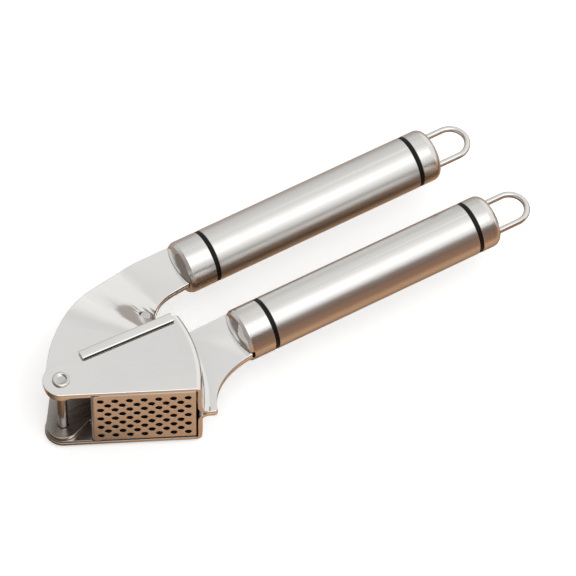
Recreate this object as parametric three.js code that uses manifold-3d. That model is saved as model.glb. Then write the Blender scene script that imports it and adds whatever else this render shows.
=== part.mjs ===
// Garlic press: a basket lever and a pressing lever on one riveted pin, each with a tubular handle.
// Working frame: the pin's axis is Z through (0, 0), the handles run along +X, the pressing lever is on the +Y
// side, and the mid-plane of the press is z = 0. Millimetres.
import * as THREE from "three";
import { mergeVertices } from "three/addons/utils/BufferGeometryUtils.js";
import Module from "manifold-3d";

const wasm = await Module();
wasm.setup();
const radians = THREE.MathUtils.degToRad;

// Basket frame
const headHalf = 17.2; // mid-plane to the outer face of a side plate
const frameSheet = 1.5;
const frameEdge = 6.8; // distance of the side plate's edges from the pin's axis
const frameReach = 51.5; // pin's axis to the outer face of the end wall
const topTurn = radians(-2.6); // direction of the side plate's upper edge
const sieveTurn = radians(-26); // direction of the sieve
const wallBend = 2.4; // outer radius between side plate and end wall
const bladeFillet = 3; // radius between end wall and blade
const tonguePast = 5; // how far the blade's tongue runs past the end wall
const tongueRound = 1; // corner at the tongue's end
const bladeDip = 0.9; // how far the blade's curved edge dips below the handle before it meets the cap

// Handles
const gripRadius = 10.2;
const gripWall = 1;
const gripLength = 86.2;
const ringWidth = 1.7;
const frontCapLength = 9.2; // ring to rim
const domeHeight = 3.3;
const rearCapLength = 8.4;
const rearCapRound = 3.4;
const spigotLength = 6;
const spigotGap = 0.1;
const ringStepIn = 0.08;
const bladeShoulder = 10; // ring to the blade's shoulder
const slotDepth = 8.9; // ring to the bottom of the blade's slot
const slotGap = 0.2;
const tangHalf = 7;
const tangReach = 22; // how far the tang runs inside the grip
const basketHandle = new THREE.Vector2(81.55, -5.4); // front ring's front face on the handle's axis
const pressHandle = new THREE.Vector2(77.45, 31.6);

// Hanging loops
const wireRadius = 1.15;
const loopHalf = 6.6; // handle's axis to the middle of a leg
const loopStandOut = 16.3;
const legHoleGap = 0.1;
const legInCap = 5.5; // length of a leg inside the rear cap

// Sieve insert
const insertSheet = 1;
const insertGap = 0.2; // insert to frame plate
const sieveStart = 10.5; // pin's axis to the end tab, along the sieve
const sieveEndGap = 0.7; // sieve to end wall
const insertFold = 1.5;
const tabHeight = 7.6;
const holeRadius = 1.25;
const holePitch = 5.35; // along the sieve
const holeRowPitch = 5.75; // across it, two half steps
const holeMargin = 2.8; // least distance from a hole's centre to the sieve's edge
const rimStart = 10.7; // pin's axis to the rim
const rimEndGap = 3.3; // rim to the end wall's outer face
const rimDepth = 4;
const rimGap = 0.3;
const rimRound = 1.2;

// Pressing lever
const leverSheet = 1.5;
const leverGap = 0.3; // lever plate to insert
const leverTip = 6.3; // radius round the pin
const tipAngle = radians(150); // where the round tip meets the outer edge
const leverEndGap = 3.2; // lever's edge inside the basket to the end wall's outer face
const leverBack = new THREE.Vector2(1.6, 13.2); // outer edge above the pin
const neckAngle = radians(15.5); // where the edge leaves the basket for the blade
const neckReach = 12; // length of the curve from there to the blade's straight edge
const bladeInset = 2; // blade's inner edge inside the handle's side
const bladeDrop = 0.4; // blade's outer edge inside the handle's other side
const panelStart = radians(136); // the sloping panel's ribs fan out from this point
const panelEnd = radians(101);
const panelApex = new THREE.Vector2(61.3, -21.6);
const presserSheet = 1.2;
const presserLift = 0.5; // presser to sieve
const presserEndGap = 1.4; // presser to end tab
const presserFlange = 8;
const plateNotchLift = 0.5; // lever plate to the end tab's top
const spacerAt = new THREE.Vector2(44, 16.6);
const spacerRadius = 2;
const spacerHoleGap = 0.2;
const spacerHalf = 5.2;

// Pivot pin
const pinRadius = 1.9;
const pinGap = 0.15;
const pinHeadRadius = 3.3;
const pinHeadHeight = 0.9;
const pinDimpleRadius = 2.1;
const pinDimpleDepth = 0.6;

const insertOuter = headHalf - frameSheet - insertGap;
const insertInner = insertOuter - insertSheet;
const leverOuter = insertInner - leverGap;
const leverInner = leverOuter - leverSheet;
const sieveInside = -frameEdge + insertSheet;
const sieveEnd = frameReach - frameSheet - sieveEndGap;
const leverReach = frameReach - leverEndGap;

const steel = { color: 0xc9c9c7, roughness: 0.14, metalness: 1 };
const brushed = { color: 0xbfbdb9, roughness: 0.34, metalness: 1 };
const black = { color: 0x141312, roughness: 0.5, metalness: 0 };

// A closed geometry as a solid for cutting and joining.
function solid(geometry) {
  const bare = new THREE.BufferGeometry();
  bare.setAttribute("position", geometry.getAttribute("position"));
  if (geometry.index) bare.setIndex(geometry.index);
  const merged = mergeVertices(bare, 1e-4);
  const corners = merged.index.array;
  const kept = [];
  for (let i = 0; i < corners.length; i += 3) {
    const [a, b, c] = corners.slice(i, i + 3);
    if (a !== b && b !== c && c !== a) kept.push(a, b, c);
  }
  return new wasm.Manifold(
    new wasm.Mesh({
      numProp: 3,
      vertProperties: merged.attributes.position.array,
      triVerts: new Uint32Array(kept),
    }),
  );
}

// The finished solid as a named mesh.
function meshOf(name, made, look) {
  const result = made.getMesh();
  const geometry = new THREE.BufferGeometry();
  geometry.setAttribute("position", new THREE.BufferAttribute(result.vertProperties, 3));
  geometry.setIndex(new THREE.BufferAttribute(result.triVerts, 1));
  const mesh = new THREE.Mesh(geometry, new THREE.MeshStandardMaterial(look));
  mesh.name = name;
  return mesh;
}

// A plan outline raised from z = low to z = high.
function prism(shape, low, high, curveSegments = 10) {
  const geometry = new THREE.ExtrudeGeometry(shape, {
    depth: high - low,
    bevelEnabled: false,
    curveSegments,
  });
  return geometry.translate(0, 0, low);
}

function block(x0, x1, y0, y1, z0, z1) {
  const geometry = new THREE.BoxGeometry(x1 - x0, y1 - y0, z1 - z0);
  return geometry.translate((x0 + x1) / 2, (y0 + y1) / 2, (z0 + z1) / 2);
}

// A cylinder along Z at (x, y).
function post(radius, x, y, low, high, segments = 32) {
  const geometry = new THREE.CylinderGeometry(radius, radius, high - low, segments);
  return geometry.rotateX(Math.PI / 2).translate(x, y, (low + high) / 2);
}

// A profile of (radius, height) points turned about Z.
function turned(points, segments) {
  return new THREE.LatheGeometry(points, segments).rotateX(Math.PI / 2);
}

// The same closed geometry on the other side of the mid-plane.
function mirrored(geometry) {
  const other = geometry.clone().scale(1, 1, -1);
  const at = other.getAttribute("position");
  for (let i = 0; i < at.count; i += 3) {
    const second = new THREE.Vector3().fromBufferAttribute(at, i + 1);
    const third = new THREE.Vector3().fromBufferAttribute(at, i + 2);
    at.setXYZ(i + 1, third.x, third.y, third.z);
    at.setXYZ(i + 2, second.x, second.y, second.z);
  }
  return other;
}

// A point given along a turned direction and square to it.
function along(turn, forward, side) {
  return new THREE.Vector2(forward, side).rotateAround(new THREE.Vector2(), turn);
}

function upperAndLower(name, made, look) {
  const upper = meshOf(name + "_upper", made, look);
  const lower = meshOf(name + "_lower", made, look);
  lower.scale.z = -1;
  return [upper, lower];
}

// Radial section of one frame half: side plate, end wall and blade in one bent sheet.
function frameSection(far) {
  const wallInside = frameReach - frameSheet;
  const foot = frameSheet + bladeFillet;
  const path = new THREE.Path();
  path.moveTo(0, headHalf - frameSheet);
  path.lineTo(frameReach - wallBend, headHalf - frameSheet);
  path.absarc(frameReach - wallBend, headHalf - wallBend, wallBend - frameSheet, Math.PI / 2, 0, true);
  path.lineTo(wallInside, foot);
  path.absarc(frameReach + bladeFillet, foot, foot, Math.PI, 1.5 * Math.PI, false);
  path.lineTo(far, 0);
  path.lineTo(far, frameSheet);
  path.absarc(frameReach + bladeFillet, foot, bladeFillet, 1.5 * Math.PI, Math.PI, true);
  path.absarc(frameReach - wallBend, headHalf - wallBend, wallBend, 0, Math.PI / 2, false);
  path.lineTo(0, headHalf);
  return path.getPoints(4);
}

// Plan outline of one frame half, from the pin round to the tang.
function frameOutline() {
  const shape = new THREE.Shape();
  const tongue = frameReach + tonguePast;
  const shoulder = basketHandle.x - bladeShoulder;
  const tangEnd = basketHandle.x + tangReach;
  const low = basketHandle.y - gripRadius;
  const high = basketHandle.y + gripRadius;
  const tongueEnd = along(sieveTurn, tongue - tongueRound, -frameEdge);
  const tongueCorner = along(sieveTurn, tongue, -frameEdge);
  const tongueSide = along(sieveTurn, tongue + 0.4 * tongueRound, -frameEdge + 1.2 * tongueRound);
  const blend = shoulder - tongueSide.x;
  const wallTop = along(topTurn, frameReach + bladeFillet, frameEdge);
  shape.absarc(0, 0, frameEdge, Math.PI / 2 + topTurn, 1.5 * Math.PI + sieveTurn, false);
  shape.lineTo(tongueEnd.x, tongueEnd.y);
  shape.quadraticCurveTo(tongueCorner.x, tongueCorner.y, tongueSide.x, tongueSide.y);
  shape.bezierCurveTo(
    tongueSide.x + 0.11 * blend,
    tongueSide.y + 0.58 * (low - tongueSide.y),
    tongueSide.x + 0.48 * blend,
    low - bladeDip,
    shoulder,
    low,
  );
  shape.lineTo(shoulder, basketHandle.y - tangHalf);
  shape.lineTo(tangEnd, basketHandle.y - tangHalf);
  shape.lineTo(tangEnd, basketHandle.y + tangHalf);
  shape.lineTo(shoulder, basketHandle.y + tangHalf);
  shape.lineTo(shoulder, high);
  shape.lineTo(wallTop.x, wallTop.y);
  return shape;
}

function basketFrame() {
  const far = basketHandle.x + tangReach + gripRadius;
  const sheet = solid(turned(frameSection(far), 120));
  const outline = solid(prism(frameOutline(), -1, headHalf + 1, 16));
  const hole = solid(post(pinRadius + pinGap, 0, 0, -1, headHalf + 1));
  return upperAndLower("basket_frame", sheet.intersect(outline).subtract(hole), steel);
}

// One side wall of the insert, from the pivot ear to the end wall.
function insertWall(low, high) {
  const ear = frameEdge - insertGap;
  const reach = sieveEnd;
  const lift = sieveInside + insertFold;
  const shape = new THREE.Shape();
  shape.absarc(0, 0, ear, Math.PI / 2 + topTurn, 1.5 * Math.PI + sieveTurn, false);
  const corner = along(sieveTurn, sieveStart, -ear);
  const step = along(sieveTurn, sieveStart, lift);
  shape.lineTo(corner.x, corner.y);
  shape.lineTo(step.x, step.y);
  const from = sieveTurn + Math.asin(lift / reach);
  const to = topTurn + Math.asin(ear / reach);
  shape.absarc(0, 0, reach, from, to, false);
  return solid(prism(shape, low, high));
}

// The insert's section across the sieve: the perforated bottom with a rounded fold at each side.
function sieveSection() {
  const bottom = -frameEdge;
  const top = sieveInside + insertFold + insertSheet;
  const out = insertOuter;
  const inner = insertFold - insertSheet;
  const shape = new THREE.Shape();
  shape.moveTo(-out, top);
  shape.lineTo(-out, bottom + insertFold);
  shape.absarc(-out + insertFold, bottom + insertFold, insertFold, Math.PI, 1.5 * Math.PI, false);
  shape.absarc(out - insertFold, bottom + insertFold, insertFold, 1.5 * Math.PI, 2 * Math.PI, false);
  shape.lineTo(out, top);
  shape.lineTo(insertInner, top);
  shape.absarc(out - insertFold, bottom + insertFold, inner, 2 * Math.PI, 1.5 * Math.PI, true);
  shape.absarc(-out + insertFold, bottom + insertFold, inner, 1.5 * Math.PI, Math.PI, true);
  shape.lineTo(-insertInner, top);
  return shape;
}

// The fold from the sieve up into the end tab, drawn along the sieve.
function tabSection() {
  const bottom = -frameEdge;
  const inner = insertFold - insertSheet;
  const shape = new THREE.Shape();
  shape.moveTo(sieveStart, bottom + tabHeight);
  shape.lineTo(sieveStart, bottom + insertFold);
  shape.absarc(sieveStart + insertFold, bottom + insertFold, insertFold, Math.PI, 1.5 * Math.PI, false);
  shape.lineTo(sieveStart + 2 * insertFold, bottom);
  shape.lineTo(sieveStart + 2 * insertFold, sieveInside);
  shape.absarc(sieveStart + insertFold, bottom + insertFold, inner, 1.5 * Math.PI, Math.PI, true);
  shape.lineTo(sieveStart + insertSheet, bottom + tabHeight);
  return shape;
}

// Staggered holes: full rows, with a shorter row centred in each space between them.
function sieveHoles() {
  const middle = (sieveStart + sieveEnd) / 2;
  const columns = 1 + Math.floor((sieveEnd - sieveStart - 2 * holeMargin) / holePitch);
  const rows = 1 + Math.floor((2 * insertInner - 2 * holeMargin) / holeRowPitch);
  const holes = [];
  for (let row = 0; row < 2 * rows - 1; row++) {
    const count = columns - (row % 2);
    const across = (row - rows + 1) * 0.5 * holeRowPitch;
    for (let i = 0; i < count; i++) {
      const s = middle + (i - (count - 1) / 2) * holePitch;
      const hole = new THREE.CylinderGeometry(holeRadius, holeRadius, 3 * insertSheet, 10);
      holes.push(solid(hole.translate(s, -frameEdge, across)));
    }
  }
  return wasm.Manifold.union(holes);
}

// The rim folded over the side plate's upper edge, along that edge.
function insertRim() {
  const outer = headHalf + rimGap + insertSheet;
  const top = frameEdge + rimGap + insertSheet;
  const length = frameReach - rimEndGap - rimStart;
  const shape = new THREE.Shape();
  shape.moveTo(insertInner, frameEdge - rimDepth);
  shape.lineTo(insertOuter, frameEdge - rimDepth);
  shape.lineTo(insertOuter, frameEdge + rimGap);
  shape.lineTo(headHalf + rimGap, frameEdge + rimGap);
  shape.lineTo(headHalf + rimGap, top - rimDepth);
  shape.lineTo(outer, top - rimDepth);
  shape.lineTo(outer, top - rimRound);
  shape.quadraticCurveTo(outer, top, outer - rimRound, top);
  shape.lineTo(insertInner + rimRound, top);
  shape.quadraticCurveTo(insertInner, top, insertInner, top - rimRound);
  const geometry = new THREE.ExtrudeGeometry(shape, {
    depth: length,
    bevelEnabled: false,
    curveSegments: 4,
  });
  // The section's (x, y) become (z, y) and its depth becomes -x, so start from the far end.
  geometry.rotateY(-Math.PI / 2).translate(rimStart + length, 0, 0);
  return geometry.rotateZ(topTurn);
}

function sieveInsert() {
  // Longer than the sieve, and cut back to its curved end below.
  const length = sieveEnd + frameEdge - sieveStart - insertFold;
  const across = new THREE.ExtrudeGeometry(sieveSection(), {
    depth: length,
    bevelEnabled: false,
    curveSegments: 5,
  });
  across.rotateY(Math.PI / 2).translate(sieveStart + insertFold, 0, 0);
  // The tab reaches into the walls, so that they are one body.
  const tabHalf = insertInner + 0.5 * insertSheet;
  const tab = prism(tabSection(), -tabHalf, tabHalf, 5);
  const reach = solid(post(sieveEnd, 0, 0, -headHalf, headHalf, 120));
  const bottom = solid(across).intersect(reach).add(solid(tab)).subtract(sieveHoles());
  const body = wasm.Manifold.union([
    bottom.rotate([0, 0, THREE.MathUtils.radToDeg(sieveTurn)]),
    insertWall(insertInner, insertOuter),
    insertWall(-insertOuter, -insertInner),
    solid(insertRim()),
    solid(mirrored(insertRim())),
  ]);
  const hole = solid(post(pinRadius + pinGap, 0, 0, -headHalf, headHalf));
  return meshOf("sieve_insert", body.subtract(hole), steel);
}

// Outer face of the lever's bent sheet: its height on the rib at this angle about the apex.
function leverHeight(angle) {
  const share = THREE.MathUtils.smoothstep(angle, panelEnd, panelStart);
  return THREE.MathUtils.lerp(leverSheet, leverOuter, share);
}

// The lever's bent sheet before it is cut to its outline, as ribs that fan out from the apex.
function leverSheetSolid() {
  const first = radians(41);
  const last = radians(221);
  const near = 14;
  const far = 90;
  const geometry = new THREE.BoxGeometry(1, 1, 1, 60, 6, 1);
  const at = geometry.getAttribute("position");
  for (let i = 0; i < at.count; i++) {
    const angle = THREE.MathUtils.lerp(first, last, at.getX(i) + 0.5);
    const reach = THREE.MathUtils.lerp(far, near, at.getY(i) + 0.5);
    const x = panelApex.x + reach * Math.cos(angle);
    const y = panelApex.y + reach * Math.sin(angle);
    const z = leverHeight(angle) - leverSheet * (0.5 - at.getZ(i));
    at.setXYZ(i, x, y, z);
  }
  return solid(geometry);
}

// Plan outline of one lever half, from the tip round through the basket to the tang.
function leverOutline() {
  const shoulder = pressHandle.x - bladeShoulder;
  const tangEnd = pressHandle.x + tangReach;
  const high = pressHandle.y + gripRadius - bladeDrop;
  const low = pressHandle.y - gripRadius + bladeInset;
  const bottom = sieveInside + presserLift;
  const notch = -frameEdge + tabHeight + plateNotchLift;
  const inStart = sieveStart + insertSheet + presserEndGap;
  const tipEdge = along(sieveTurn, 0.72 * leverTip, -0.69 * leverTip);
  const overTab = along(sieveTurn, sieveStart - 0.6, notch);
  const notchCorner = along(sieveTurn, inStart, notch);
  const basketCorner = along(sieveTurn, inStart, bottom);
  const basketEnd = sieveTurn + Math.asin(bottom / leverReach);
  const neck = new THREE.Vector2(leverReach * Math.cos(neckAngle), leverReach * Math.sin(neckAngle));
  const tip = along(tipAngle, leverTip, 0);
  const shape = new THREE.Shape();
  shape.absarc(0, 0, leverTip, tipAngle, tipEdge.angle(), false);
  shape.lineTo(overTab.x, overTab.y);
  shape.lineTo(notchCorner.x, notchCorner.y);
  shape.lineTo(basketCorner.x, basketCorner.y);
  shape.absarc(0, 0, leverReach, basketEnd, neckAngle, false);
  shape.bezierCurveTo(neck.x + 0.8, neck.y + 5, neck.x + 5.5, low - 1.6, neck.x + neckReach, low - 0.8);
  shape.lineTo(shoulder, low);
  shape.lineTo(shoulder, pressHandle.y - tangHalf);
  shape.lineTo(tangEnd, pressHandle.y - tangHalf);
  shape.lineTo(tangEnd, pressHandle.y + tangHalf);
  shape.lineTo(shoulder, pressHandle.y + tangHalf);
  shape.lineTo(shoulder, high);
  shape.lineTo(shoulder - 15, high);
  shape.bezierCurveTo(shoulder - 32, high - 1, 9, high - 17, leverBack.x, leverBack.y);
  shape.bezierCurveTo(leverBack.x - 2.4, leverBack.y - 3.2, tip.x + 2.2, tip.y + 2.9, tip.x, tip.y);
  return shape;
}

function pressLever() {
  const outline = solid(prism(leverOutline(), -1, headHalf, 14));
  const pinHole = solid(post(pinRadius + pinGap, 0, 0, -1, headHalf));
  const spacerHole = solid(post(spacerRadius + spacerHoleGap, spacerAt.x, spacerAt.y, -1, headHalf, 24));
  const made = leverSheetSolid().intersect(outline).subtract(pinHole).subtract(spacerHole);
  return upperAndLower("press_lever", made, steel);
}

// The channel that pushes the garlic through the sieve, its flanges against the lever's plates.
function presser() {
  const start = sieveStart + insertSheet + presserEndGap;
  const bottom = sieveInside + presserLift;
  const half = leverInner;
  const shape = new THREE.Shape();
  shape.moveTo(-half, bottom);
  shape.lineTo(half, bottom);
  shape.lineTo(half, bottom + presserFlange);
  shape.lineTo(half - presserSheet, bottom + presserFlange);
  shape.lineTo(half - presserSheet, bottom + presserSheet);
  shape.lineTo(-half + presserSheet, bottom + presserSheet);
  shape.lineTo(-half + presserSheet, bottom + presserFlange);
  shape.lineTo(-half, bottom + presserFlange);
  const channel = new THREE.ExtrudeGeometry(shape, {
    depth: leverReach - start,
    bevelEnabled: false,
  });
  channel.rotateY(Math.PI / 2).translate(start, 0, 0);
  const reach = solid(post(leverReach, 0, 0, -headHalf, headHalf, 120));
  const made = solid(channel).intersect(reach);
  return meshOf("presser", made.rotate([0, 0, THREE.MathUtils.radToDeg(sieveTurn)]), steel);
}

function pivotPin() {
  const top = headHalf + pinHeadHeight;
  const profile = new THREE.Path();
  profile.moveTo(0, -top + pinDimpleDepth);
  profile.lineTo(0.55 * pinDimpleRadius, -top + pinDimpleDepth);
  profile.lineTo(pinDimpleRadius, -top);
  profile.lineTo(0.8 * pinHeadRadius, -top);
  profile.lineTo(pinHeadRadius, -top + 0.5 * pinHeadHeight);
  profile.lineTo(pinHeadRadius, -headHalf);
  profile.lineTo(pinRadius, -headHalf);
  profile.lineTo(pinRadius, headHalf);
  profile.lineTo(pinHeadRadius, headHalf);
  profile.lineTo(pinHeadRadius, top - 0.5 * pinHeadHeight);
  profile.lineTo(0.8 * pinHeadRadius, top);
  profile.lineTo(pinDimpleRadius, top);
  profile.lineTo(0.55 * pinDimpleRadius, top - pinDimpleDepth);
  profile.lineTo(0, top - pinDimpleDepth);
  return meshOf("pivot_pin", solid(turned(profile.getPoints(1), 28)), steel);
}

function spacerPin() {
  const pin = post(spacerRadius, spacerAt.x, spacerAt.y, -spacerHalf, spacerHalf, 24);
  return meshOf("lever_spacer_pin", solid(pin), steel);
}

// A handle piece turned about the handle's axis: points are (radius, distance behind the front ring's face).
function handleTurned(points) {
  return solid(new THREE.LatheGeometry(points, 48).rotateZ(-Math.PI / 2));
}

function tubeSection(inner, outer, start, end) {
  return [
    new THREE.Vector2(inner, start),
    new THREE.Vector2(outer, start),
    new THREE.Vector2(outer, end),
    new THREE.Vector2(inner, end),
    new THREE.Vector2(inner, start),
  ];
}

// Front cap: domed end, short side wall and a spigot that carries the ring and the tube. The slot in its end
// is as wide as the blade, whose edges are at low and high.
function frontCap(low, high) {
  const spigot = gripRadius - gripWall - spigotGap;
  const profile = new THREE.Path();
  profile.moveTo(0, -frontCapLength - domeHeight);
  profile.quadraticCurveTo(
    0.55 * gripRadius,
    -frontCapLength - domeHeight,
    0.93 * gripRadius,
    -frontCapLength - 0.45 * domeHeight,
  );
  profile.lineTo(gripRadius, -frontCapLength);
  profile.lineTo(gripRadius, 0);
  profile.lineTo(spigot, 0);
  profile.lineTo(spigot, spigotLength);
  profile.lineTo(0, spigotLength);
  const half = frameSheet + slotGap;
  const outside = 2 * gripRadius;
  const mouth = block(-outside, -slotDepth, low - slotGap, high + slotGap, -half, half);
  const wide = tangHalf + slotGap;
  const way = block(-outside, spigotLength + 1, -wide, wide, -half, half);
  return handleTurned(profile.getPoints(5)).subtract(solid(mouth)).subtract(solid(way));
}

// Rear cap: spigot, side wall, rounded end edge and two holes for the loop's legs.
function rearCap() {
  const spigot = gripRadius - gripWall - spigotGap;
  const start = 2 * ringWidth + gripLength;
  const end = start + rearCapLength;
  const profile = new THREE.Path();
  profile.moveTo(0, start - ringWidth - spigotLength);
  profile.lineTo(spigot, start - ringWidth - spigotLength);
  profile.lineTo(spigot, start);
  profile.lineTo(gripRadius, start);
  profile.absarc(gripRadius - rearCapRound, end - rearCapRound, rearCapRound, 0, Math.PI / 2, false);
  profile.lineTo(0, end);
  const holes = [-loopHalf, loopHalf].map((y) => {
    const radius = wireRadius + legHoleGap;
    const hole = new THREE.CylinderGeometry(radius, radius, 2 * (legInCap + 0.5), 16);
    return solid(hole.rotateZ(Math.PI / 2).translate(end, y, 0));
  });
  return handleTurned(profile.getPoints(4)).subtract(holes[0]).subtract(holes[1]);
}

// The bent wire: two legs set in the rear cap and a half circle.
function hangingLoop() {
  const end = 2 * ringWidth + gripLength + rearCapLength;
  const foot = end - legInCap;
  const turn = end + loopStandOut - wireRadius - loopHalf;
  const tip = turn + loopHalf;
  const pull = (4 / 3) * (Math.SQRT2 - 1) * loopHalf; // Bezier handle of a quarter circle
  const point = (x, y) => new THREE.Vector3(x, y, 0);
  const path = new THREE.CurvePath();
  path.add(new THREE.LineCurve3(point(foot, loopHalf), point(turn, loopHalf)));
  path.add(
    new THREE.CubicBezierCurve3(
      point(turn, loopHalf),
      point(turn + pull, loopHalf),
      point(tip, pull),
      point(tip, 0),
    ),
  );
  path.add(
    new THREE.CubicBezierCurve3(
      point(tip, 0),
      point(tip, -pull),
      point(turn + pull, -loopHalf),
      point(turn, -loopHalf),
    ),
  );
  path.add(new THREE.LineCurve3(point(turn, -loopHalf), point(foot, -loopHalf)));
  const section = new THREE.Shape();
  section.absarc(0, 0, wireRadius, 0, 2 * Math.PI, false);
  const wire = new THREE.ExtrudeGeometry(section, {
    steps: 36,
    curveSegments: 6,
    bevelEnabled: false,
    extrudePath: path,
  });
  return solid(wire);
}

// The six pieces of one handle, placed by its axis. The blade's edges are measured from the axis.
function handle(name, at, bladeLow, bladeHigh) {
  const inner = gripRadius - gripWall;
  const tubeEnd = ringWidth + gripLength;
  const ringOuter = gripRadius - ringStepIn;
  const pieces = new THREE.Group();
  pieces.add(
    meshOf(name + "_front_cap", frontCap(bladeLow, bladeHigh), brushed),
    meshOf(name + "_front_ring", handleTurned(tubeSection(inner, ringOuter, 0, ringWidth)), black),
    meshOf(name + "_grip_tube", handleTurned(tubeSection(inner, gripRadius, ringWidth, tubeEnd)), brushed),
    meshOf(
      name + "_rear_ring",
      handleTurned(tubeSection(inner, ringOuter, tubeEnd, tubeEnd + ringWidth)),
      black,
    ),
    meshOf(name + "_rear_cap", rearCap(), brushed),
    meshOf(name + "_hanging_loop", hangingLoop(), steel),
  );
  pieces.position.set(at.x, at.y, 0);
  return pieces;
}

// Origin: the middle of the underside of the whole press.
function placed(pieces) {
  const box = new THREE.Box3().setFromObject(pieces);
  const middle = box.getCenter(new THREE.Vector3());
  pieces.position.set(-middle.x, -middle.y, -box.min.z);
  const press = new THREE.Group();
  press.add(pieces);
  return press;
}

const pieces = new THREE.Group();
pieces.add(
  ...basketFrame(),
  sieveInsert(),
  ...pressLever(),
  presser(),
  spacerPin(),
  pivotPin(),
  handle("basket", basketHandle, -gripRadius, gripRadius),
  handle("press", pressHandle, bladeInset - gripRadius, gripRadius - bladeDrop),
);

export default placed(pieces);
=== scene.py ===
import math

import bmesh
import bpy
from mathutils import Matrix, Vector


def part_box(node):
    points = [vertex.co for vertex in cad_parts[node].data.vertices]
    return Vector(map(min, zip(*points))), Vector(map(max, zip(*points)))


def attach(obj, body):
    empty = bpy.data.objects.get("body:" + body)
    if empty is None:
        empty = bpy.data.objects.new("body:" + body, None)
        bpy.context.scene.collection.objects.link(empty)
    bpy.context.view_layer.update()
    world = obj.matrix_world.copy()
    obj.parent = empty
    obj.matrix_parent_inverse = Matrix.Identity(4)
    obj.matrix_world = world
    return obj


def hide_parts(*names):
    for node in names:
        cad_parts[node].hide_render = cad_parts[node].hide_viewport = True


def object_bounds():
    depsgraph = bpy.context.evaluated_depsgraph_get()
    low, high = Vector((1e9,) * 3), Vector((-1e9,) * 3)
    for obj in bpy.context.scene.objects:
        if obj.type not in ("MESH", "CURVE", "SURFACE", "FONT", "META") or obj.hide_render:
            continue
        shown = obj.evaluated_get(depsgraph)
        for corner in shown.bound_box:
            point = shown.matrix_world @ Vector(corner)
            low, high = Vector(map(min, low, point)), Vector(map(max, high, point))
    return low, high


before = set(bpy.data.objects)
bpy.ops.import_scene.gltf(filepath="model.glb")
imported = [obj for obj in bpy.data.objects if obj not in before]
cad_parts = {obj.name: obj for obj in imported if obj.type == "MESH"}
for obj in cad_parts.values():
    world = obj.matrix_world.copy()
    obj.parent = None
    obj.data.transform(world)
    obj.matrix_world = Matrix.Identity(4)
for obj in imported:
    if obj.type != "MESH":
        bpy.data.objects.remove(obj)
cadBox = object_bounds()
mm = 0.001
print("frame loaded:", len(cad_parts), "nodes")


def towards(azimuth, elevation):
    # From the press to a viewer or a light. Azimuth 0 is in front, at -Y.
    a, e = math.radians(azimuth), math.radians(elevation)
    return Vector((math.sin(a) * math.cos(e), -math.cos(a) * math.cos(e), math.sin(e)))


cameraSettings = {
    "azimuth": -30.497,
    "elevation": 56.346,
    "roll": 0.987,  # the right edge of the view lifts
    "distance": 1.996,
    "aim": (-0.00501, -0.01537, 0.04314),
    "lens": 340.08,
    "sensor": 36,
}


def makeCamera(s):
    bpy.ops.object.camera_add()
    camera = bpy.context.object
    camera.name = "pressCamera"
    back = towards(s["azimuth"], s["elevation"])
    level = Vector((0, 0, 1)).cross(back).normalized()
    rise = back.cross(level)
    roll = math.radians(s["roll"])
    right = level * math.cos(roll) + rise * math.sin(roll)
    up = back.cross(right)
    turn = Matrix((right, up, back)).transposed()
    camera.rotation_mode = "QUATERNION"
    camera.rotation_quaternion = turn.to_quaternion()
    camera.location = Vector(s["aim"]) + back * s["distance"]
    camera.data.sensor_width = s["sensor"]
    camera.data.lens = s["lens"]
    camera.data.clip_start, camera.data.clip_end = 0.05, 30
    bpy.context.scene.camera = camera


makeCamera(cameraSettings)
print("camera placed")


# Node helpers: every material and group below is wired with these.
def addNode(tree, kind, at, **values):
    node = tree.nodes.new(kind)
    node.location = at
    for name, value in values.items():
        setattr(node, name, value)
    return node


def link(tree, source, target):
    tree.links.new(source, target)


def newGroup(name, inputs, outputs):
    tree = bpy.data.node_groups.new(name, "ShaderNodeTree")
    for label, kind, value in inputs:
        socket = tree.interface.new_socket(name=label, in_out="INPUT", socket_type=kind)
        if value is not None:
            socket.default_value = value
    for label, kind in outputs:
        tree.interface.new_socket(name=label, in_out="OUTPUT", socket_type=kind)
    start = addNode(tree, "NodeGroupInput", (-900, 0))
    end = addNode(tree, "NodeGroupOutput", (700, 0))
    return tree, start, end


def mathNode(tree, operation, at, first, second=None, clamp=False):
    node = addNode(tree, "ShaderNodeMath", at, operation=operation, use_clamp=clamp)
    for i, value in enumerate((first, second)):
        if value is None:
            continue
        if isinstance(value, (int, float)):
            node.inputs[i].default_value = value
        else:
            link(tree, value, node.inputs[i])
    return node.outputs[0]


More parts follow.
